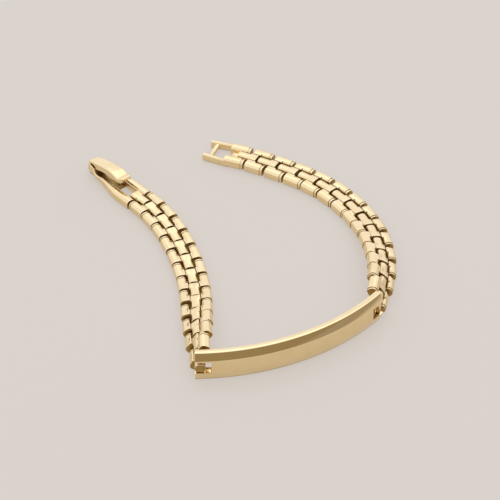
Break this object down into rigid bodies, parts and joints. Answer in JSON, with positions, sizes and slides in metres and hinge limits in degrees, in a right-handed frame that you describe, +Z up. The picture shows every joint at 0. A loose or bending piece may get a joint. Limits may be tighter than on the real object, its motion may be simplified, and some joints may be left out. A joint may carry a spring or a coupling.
{
  "type": "link bracelet",
  "caption": "Gold link bracelet lying open, with a curved plain name bar that stands on edge, a band of domed links, and a hinged lever clasp with its catch frame.",
  "frame": {"origin": "middle of the footprint, on the surface that the bracelet lies on", "axes": "+Z up from that surface; -Y towards the side that the name bar's front faces; +X towards the bar's right end, seen from the front"},
  "size_m": [0.0608, 0.0746, 0.0065],
  "materials": {
    "gold": "polished"
  },
  "bodies": {
    "bracelet": {"id_bar": "gold", "chain_left": "gold", "chain_right": "gold", "clasp_frame": "gold", "catch_frame": "gold"},
    "lever": {"clasp_lever": "gold"}
  },
  "joints": [
    {"name": "lever_hinge", "type": "hinge", "parent": "bracelet", "child": "lever", "pos_m": [-0.02879, 0.02802, 0.0015], "axis": [-0.7638, -0.6455, 0], "range_deg": [-8, 140]}
  ]
}
